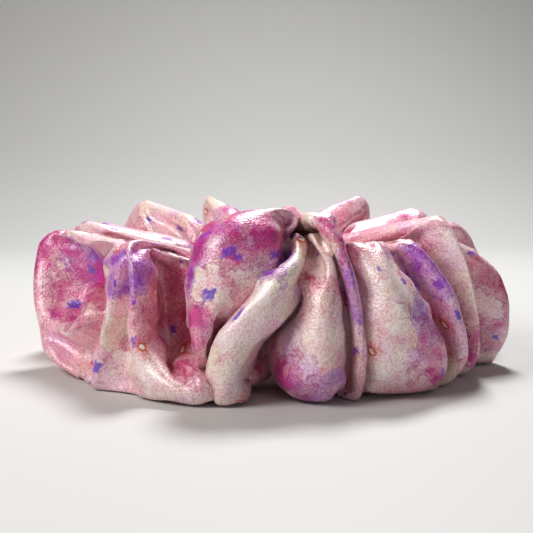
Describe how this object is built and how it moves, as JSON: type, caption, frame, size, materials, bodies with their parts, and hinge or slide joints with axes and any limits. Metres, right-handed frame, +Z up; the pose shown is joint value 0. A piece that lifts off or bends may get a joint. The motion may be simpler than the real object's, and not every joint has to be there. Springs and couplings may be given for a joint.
{
  "type": "scrunchie",
  "caption": "Hair scrunchie: a ring of gathered printed satin with a flat elastic inside, which stretches to pass over a tail of hair.",
  "frame": {"origin": "centre of the ring, on the plane it rests on", "axes": "+Z up along the ring's axis; +Y to the back, where the closing seam is; the front faces -Y"},
  "size_m": [0.112, 0.1121, 0.0391],
  "materials": {
    "satin": "printed polyester satin",
    "elastic": "braided cover, matte",
    "elastic_thread": "matte",
    "cover_thread": "slight sheen"
  },
  "bodies": {
    "front": {"cover_front": "satin", "elastic_front": "elastic", "seam_thread_front": "cover_thread"},
    "back": {"cover_back": "satin", "elastic_back": "elastic", "elastic_join_stitches": "elastic_thread", "closing_seam_stitches": "cover_thread", "seam_thread_back": "cover_thread"}
  },
  "joints": [
    {"name": "stretch", "type": "slide", "parent": "front", "child": "back", "axis": [0, 1, 0], "range_m": [0, 0.09], "stiffness_N_per_m": 85}
  ]
}
